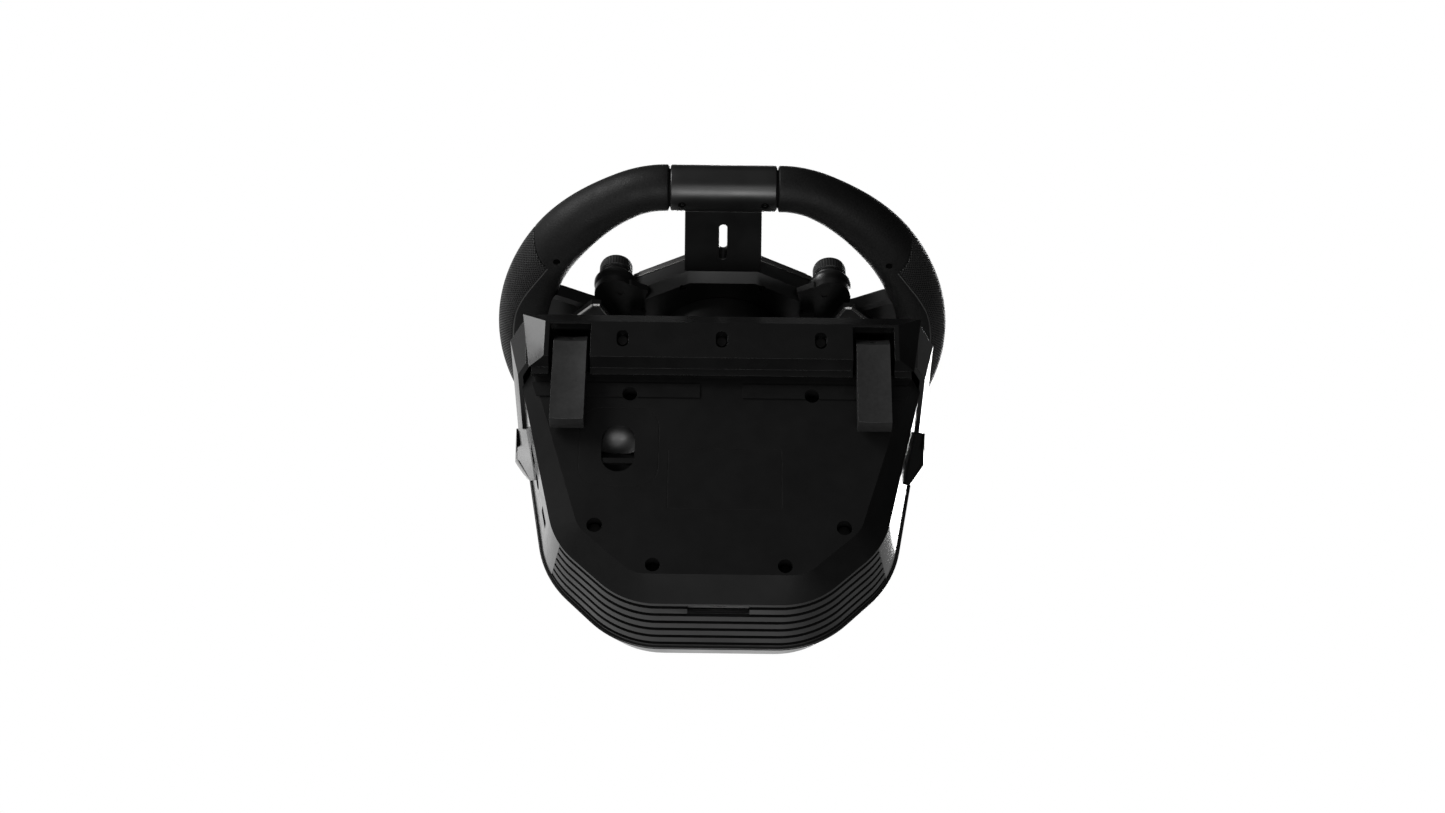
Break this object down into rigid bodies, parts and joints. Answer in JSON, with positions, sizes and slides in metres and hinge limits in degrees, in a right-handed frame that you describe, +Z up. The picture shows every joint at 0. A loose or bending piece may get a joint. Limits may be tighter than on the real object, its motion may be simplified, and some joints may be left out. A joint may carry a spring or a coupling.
{
  "type": "racing wheel",
  "caption": "Desk-clamped force feedback racing wheel: flat-bottomed rim with paddles and buttons, tapered base with ribbed rear, desk lip and screw clamp arms.",
  "frame": {"origin": "point where the desk's front edge meets the underside of the base, in the base's middle plane", "axes": "+Z up, -Y towards the driver, +X to the driver's right"},
  "size_m": [0.273, 0.2688, 0.25],
  "materials": {
    "base_plastic": "fine matte texture",
    "vent_plastic": "satin",
    "rubber": "matte",
    "screw_steel": "satin",
    "motor_case": "satin",
    "circuit_board": "solder mask",
    "lens": "gloss",
    "arm_metal": "powder coat",
    "core_metal": "cast",
    "grip_leather": "perforated",
    "rim_soft": "leather grain",
    "cap_plastic": "satin",
    "plate_metal": "anodised",
    "knob_plastic": "satin"
  },
  "bodies": {
    "base": {"bottom_cover": "base_plastic", "rear_vent_band": "vent_plastic", "side_panel_left": "base_plastic", "side_panel_right": "base_plastic", "top_shell": "base_plastic", "front_housing": "base_plastic", "side_fin_left": "base_plastic", "side_fin_right": "base_plastic", "desk_lip": "base_plastic", "rubber_pads": "rubber", "base_screws": "screw_steel", "bearing_housing": "base_plastic", "shaft_bearings": "screw_steel", "motor_body": "motor_case", "motor_bracket": "motor_case", "drive_belt": "rubber", "column_shroud": "base_plastic", "main_board": "circuit_board", "usb_port": "screw_steel", "port_block": "circuit_board", "status_lens": "lens"},
    "wheel": {"rim_core": "core_metal", "grip_left": "grip_leather", "grip_right": "grip_leather", "rim_lower_left": "rim_soft", "rim_lower_right": "rim_soft", "rim_center_cap": "cap_plastic", "rim_top": "rim_soft", "wheel_screws": "screw_steel", "lower_spoke": "cap_plastic", "spoke_frame": "core_metal", "spoke_cover_left": "cap_plastic", "spoke_cover_right": "cap_plastic", "hub_rear_cover": "cap_plastic", "hub_front_plate": "plate_metal", "control_panel": "cap_plastic", "button_board": "circuit_board", "column_collar": "cap_plastic", "steering_shaft": "screw_steel", "main_pulley": "core_metal"},
    "motor_rotor": {"motor_pulley": "screw_steel"},
    "power_key": {"power_button": "knob_plastic"},
    "clamp_arm_left": {"clamp_arm_left": "arm_metal"},
    "clamp_knob_left": {"clamp_screw_left": "screw_steel", "clamp_knob_left": "knob_plastic"},
    "paddle_left": {"paddle_left": "plate_metal"},
    "dial_left": {"dial_knob_left": "knob_plastic"},
    "clamp_arm_right": {"clamp_arm_right": "arm_metal"},
    "clamp_knob_right": {"clamp_screw_right": "screw_steel", "clamp_knob_right": "knob_plastic"},
    "paddle_right": {"paddle_right": "plate_metal"},
    "dial_right": {"dial_knob_right": "knob_plastic"},
    "key_a": {"button_a": "knob_plastic"},
    "key_b": {"button_b": "knob_plastic"},
    "key_x": {"button_x": "knob_plastic"},
    "key_y": {"button_y": "knob_plastic"},
    "key_menu": {"button_menu": "knob_plastic"},
    "key_view": {"button_view": "knob_plastic"},
    "pad_pivot": {"dpad_pivot": "knob_plastic"},
    "pad_cross": {"dpad": "knob_plastic"}
  },
  "joints": [
    {"name": "steering", "type": "hinge", "parent": "base", "child": "wheel", "pos_m": [0, -0.0856, 0.0961], "axis": [0, -0.9537, 0.3007], "range_deg": [-450, 450]},
    {"name": "motor_spin", "type": "hinge", "parent": "base", "child": "motor_rotor", "pos_m": [0.058, 0.06469, 0.03403], "axis": [0, -0.9537, 0.3007], "range_deg": [-1470, 1470]},
    {"name": "power_press", "type": "slide", "parent": "base", "child": "power_key", "axis": [0, -0.3007, -0.9537], "range_m": [0, 0.001], "stiffness_N_per_m": 500, "springref_m": -0.001},
    {"name": "clamp_turn_left", "type": "hinge", "parent": "base", "child": "clamp_knob_left", "pos_m": [-0.0834, 0.02207, 0.11668], "axis": [0, 0.3007, 0.9537], "range_deg": [0, 2880]},
    {"name": "clamp_slide_left", "type": "slide", "parent": "base", "child": "clamp_arm_left", "axis": [0, -0.3007, -0.9537], "range_m": [0, 0.0399]},
    {"name": "paddle_pull_left", "type": "hinge", "parent": "wheel", "child": "paddle_left", "pos_m": [-0.0505, -0.06433, 0.08939], "axis": [0, 0.3007, 0.9537], "range_deg": [0, 5], "stiffness_Nm_per_rad": 0.8, "springref_deg": -8.59},
    {"name": "dial_spin_left", "type": "hinge", "parent": "wheel", "child": "dial_left", "pos_m": [-0.064, -0.10395, 0.05785], "axis": [0, -0.9537, 0.3007], "continuous": true},
    {"name": "clamp_turn_right", "type": "hinge", "parent": "base", "child": "clamp_knob_right", "pos_m": [0.0834, 0.02207, 0.11668], "axis": [0, 0.3007, 0.9537], "range_deg": [0, 2880]},
    {"name": "clamp_slide_right", "type": "slide", "parent": "base", "child": "clamp_arm_right", "axis": [0, -0.3007, -0.9537], "range_m": [0, 0.0399]},
    {"name": "paddle_pull_right", "type": "hinge", "parent": "wheel", "child": "paddle_right", "pos_m": [0.0505, -0.06433, 0.08939], "axis": [0, -0.3007, -0.9537], "range_deg": [0, 5], "stiffness_Nm_per_rad": 0.8, "springref_deg": -8.59},
    {"name": "dial_spin_right", "type": "hinge", "parent": "wheel", "child": "dial_right", "pos_m": [0.064, -0.10395, 0.05785], "axis": [0, -0.9537, 0.3007], "continuous": true},
    {"name": "press_a", "type": "slide", "parent": "wheel", "child": "key_a", "axis": [0, 0.9537, -0.3007], "range_m": [0, 0.0012], "stiffness_N_per_m": 600, "springref_m": -0.001},
    {"name": "press_b", "type": "slide", "parent": "wheel", "child": "key_b", "axis": [0, 0.9537, -0.3007], "range_m": [0, 0.0012], "stiffness_N_per_m": 600, "springref_m": -0.001},
    {"name": "press_x", "type": "slide", "parent": "wheel", "child": "key_x", "axis": [0, 0.9537, -0.3007], "range_m": [0, 0.0012], "stiffness_N_per_m": 600, "springref_m": -0.001},
    {"name": "press_y", "type": "slide", "parent": "wheel", "child": "key_y", "axis": [0, 0.9537, -0.3007], "range_m": [0, 0.0012], "stiffness_N_per_m": 600, "springref_m": -0.001},
    {"name": "press_menu", "type": "slide", "parent": "wheel", "child": "key_menu", "axis": [0, 0.9537, -0.3007], "range_m": [0, 0.0012], "stiffness_N_per_m": 600, "springref_m": -0.001},
    {"name": "press_view", "type": "slide", "parent": "wheel", "child": "key_view", "axis": [0, 0.9537, -0.3007], "range_m": [0, 0.0012], "stiffness_N_per_m": 600, "springref_m": -0.001},
    {"name": "pad_rock_vertical", "type": "hinge", "parent": "wheel", "child": "pad_pivot", "pos_m": [-0.048, -0.09656, 0.09326], "axis": [1, 0, 0], "range_deg": [-5, 5], "stiffness_Nm_per_rad": 0.3},
    {"name": "pad_rock_sideways", "type": "hinge", "parent": "pad_pivot", "child": "pad_cross", "pos_m": [-0.048, -0.09656, 0.09326], "axis": [0, 0.3007, 0.9537], "range_deg": [-5, 5], "stiffness_Nm_per_rad": 0.3}
  ],
  "couplings": [
    {"joint": "motor_spin", "follows": "steering", "ratio": 3.25},
    {"joint": "clamp_turn_left", "follows": "clamp_slide_left", "rad_per_m": 1256.6},
    {"joint": "clamp_turn_right", "follows": "clamp_slide_right", "rad_per_m": 1256.6}
  ]
}
